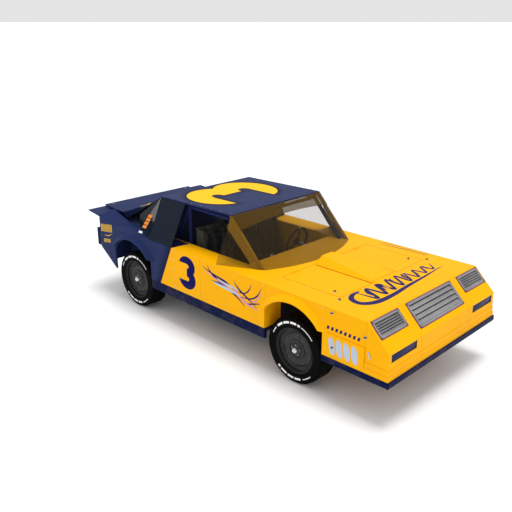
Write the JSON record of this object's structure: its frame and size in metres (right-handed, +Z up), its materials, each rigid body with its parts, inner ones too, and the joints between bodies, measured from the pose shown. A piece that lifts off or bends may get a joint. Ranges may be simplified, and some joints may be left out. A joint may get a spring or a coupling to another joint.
{
  "type": "short-track stock car",
  "caption": "Short-track stock car with a slab-sided sheet body over a caged chassis; its wheels roll, the front pair steers, and the hood and deck lid open.",
  "frame": {"origin": "on the ground below the middle of the overall length and width", "axes": "+X towards the nose, +Y to the car's left, +Z up"},
  "size_m": [4.61, 1.956, 1.437],
  "materials": {
    "chassis_paint": "satin",
    "cage_paint": "gloss",
    "blue_paint": "gloss",
    "yellow_paint": "gloss",
    "grey_metal": "satin",
    "amber_glass": "tinted, clear",
    "blue_glass": "tinted, clear",
    "grille_plastic": "satin",
    "engine_iron": "painted",
    "seat_shell": "satin",
    "seat_fabric": "woven",
    "column_steel": "brushed",
    "steering_grip": "soft grip",
    "tyre_rubber": "moulded rubber",
    "wheel_steel": "satin"
  },
  "bodies": {
    "root": {"frame_rails": "chassis_paint", "floor_pan": "chassis_paint", "firewall": "grey_metal", "rear_bulkhead": "blue_paint", "roll_cage": "cage_paint", "roof": "blue_paint", "cowl_panel": "yellow_paint", "dashboard": "yellow_paint", "windshield": "amber_glass", "a_pillars": "yellow_paint", "deflector_windows": "amber_glass", "quarter_windows": "blue_glass", "sail_panels": "blue_glass", "rear_window": "blue_glass", "door_left": "yellow_paint", "door_right": "yellow_paint", "inner_panels": "yellow_paint", "fender_left": "yellow_paint", "fender_right": "yellow_paint", "quarter_left": "blue_paint", "quarter_right": "blue_paint", "side_skirts": "blue_paint", "nose_cover": "yellow_paint", "front_bumper": "yellow_paint", "grilles": "grille_plastic", "front_valance": "blue_paint", "tail_panel": "blue_paint", "rear_bumper": "blue_paint", "engine_block": "engine_iron", "fuel_cell": "grey_metal", "seat_left": "seat_shell", "seat_right": "seat_shell", "seat_pad_left": "seat_fabric", "seat_pad_right": "seat_fabric", "steering_column": "column_steel", "front_arms": "chassis_paint", "rear_axle": "chassis_paint"},
    "hood": {"hood": "yellow_paint"},
    "deck_lid": {"deck_lid": "blue_paint"},
    "knuckle_left": {"knuckle_left": "chassis_paint"},
    "knuckle_right": {"knuckle_right": "chassis_paint"},
    "wheel_front_left": {"tyre_front_left": "tyre_rubber", "wheel_front_left": "wheel_steel"},
    "wheel_front_right": {"tyre_front_right": "tyre_rubber", "wheel_front_right": "wheel_steel"},
    "wheel_rear_left": {"tyre_rear_left": "tyre_rubber", "wheel_rear_left": "wheel_steel"},
    "wheel_rear_right": {"tyre_rear_right": "tyre_rubber", "wheel_rear_right": "wheel_steel"},
    "steering_wheel": {"steering_wheel": "steering_grip"}
  },
  "joints": [
    {"name": "steer_left", "type": "hinge", "parent": "root", "child": "knuckle_left", "pos_m": [1.205, 0.79, 0.343], "axis": [0, 0, 1], "range_deg": [-25, 25]},
    {"name": "steer_right", "type": "hinge", "parent": "root", "child": "knuckle_right", "pos_m": [1.205, -0.79, 0.343], "axis": [0, 0, 1], "range_deg": [-25, 25]},
    {"name": "steering_wheel_turn", "type": "hinge", "parent": "root", "child": "steering_wheel", "pos_m": [0.075, 0.4, 0.87], "axis": [-0.9781, 0, 0.2079], "range_deg": [-300, 300]},
    {"name": "roll_front_left", "type": "hinge", "parent": "knuckle_left", "child": "wheel_front_left", "pos_m": [1.205, 0.79, 0.343], "axis": [0, 1, 0], "continuous": true},
    {"name": "roll_front_right", "type": "hinge", "parent": "knuckle_right", "child": "wheel_front_right", "pos_m": [1.205, -0.79, 0.343], "axis": [0, 1, 0], "continuous": true},
    {"name": "roll_rear_left", "type": "hinge", "parent": "root", "child": "wheel_rear_left", "pos_m": [-1.375, 0.79, 0.343], "axis": [0, 1, 0], "continuous": true},
    {"name": "roll_rear_right", "type": "hinge", "parent": "root", "child": "wheel_rear_right", "pos_m": [-1.375, -0.79, 0.343], "axis": [0, 1, 0], "continuous": true},
    {"name": "hood_hinge", "type": "hinge", "parent": "root", "child": "hood", "pos_m": [0.848, 0, 0.953], "axis": [0, -1, 0], "range_deg": [0, 50]},
    {"name": "deck_lid_hinge", "type": "hinge", "parent": "root", "child": "deck_lid", "pos_m": [-1.906, 0, 1.057], "axis": [0, 1, 0], "range_deg": [0, 60]}
  ],
  "couplings": [
    {"joint": "steer_right", "follows": "steer_left", "ratio": 1},
    {"joint": "steering_wheel_turn", "follows": "steer_left", "ratio": 12}
  ]
}
